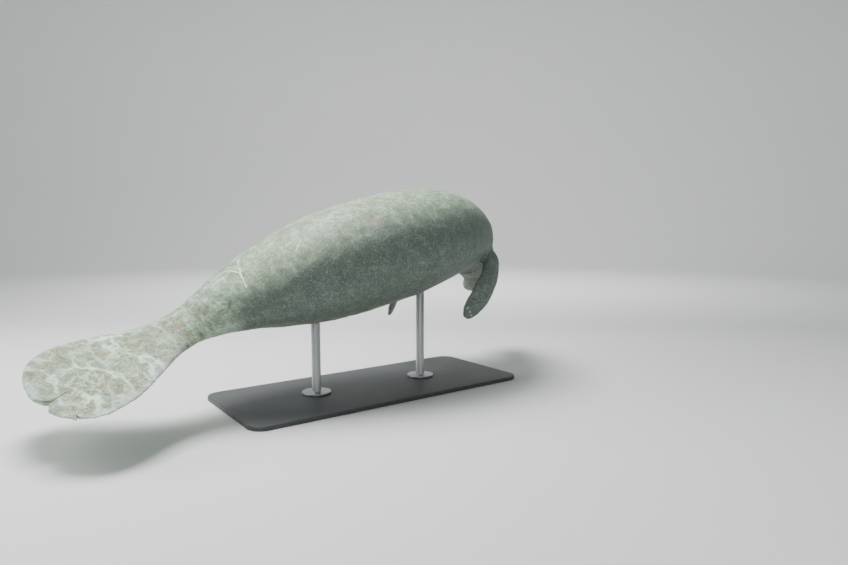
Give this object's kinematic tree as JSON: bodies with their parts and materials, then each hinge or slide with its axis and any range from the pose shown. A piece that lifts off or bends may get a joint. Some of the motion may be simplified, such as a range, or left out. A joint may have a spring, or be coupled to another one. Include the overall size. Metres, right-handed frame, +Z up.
{
  "type": "manatee model",
  "caption": "Life-size museum model of a swimming manatee, head lowered and turned aside, carried by two rods on a flat display base.",
  "frame": {"origin": "centre of the underside of the display base, on the floor", "axes": "+X along the base towards the animal's head, +Y to the animal's left, +Z up"},
  "size_m": [2.5934, 0.8162, 1.0241],
  "materials": {
    "skin": "thick wrinkled grey skin with a thin green growth of algae, satin",
    "eye": "dark glossy eye",
    "nail": "pale horn, smooth and satin",
    "stand_base": "dark grey powder coat",
    "stand_rod": "fine brushed steel"
  },
  "bodies": {
    "root": {"head": "skin", "jaw": "skin", "neck": "skin", "chest": "skin", "belly": "skin", "tail_stock": "skin", "tail_paddle": "skin", "flipper_right": "skin", "flipper_left": "skin", "eye_right": "eye", "eye_left": "eye", "nail_right_1": "nail", "nail_right_2": "nail", "nail_right_3": "nail", "nail_left_1": "nail", "nail_left_2": "nail", "nail_left_3": "nail", "stand_base": "stand_base", "stand_rod_front": "stand_rod", "stand_rod_rear": "stand_rod"}
  },
  "joints": []
}
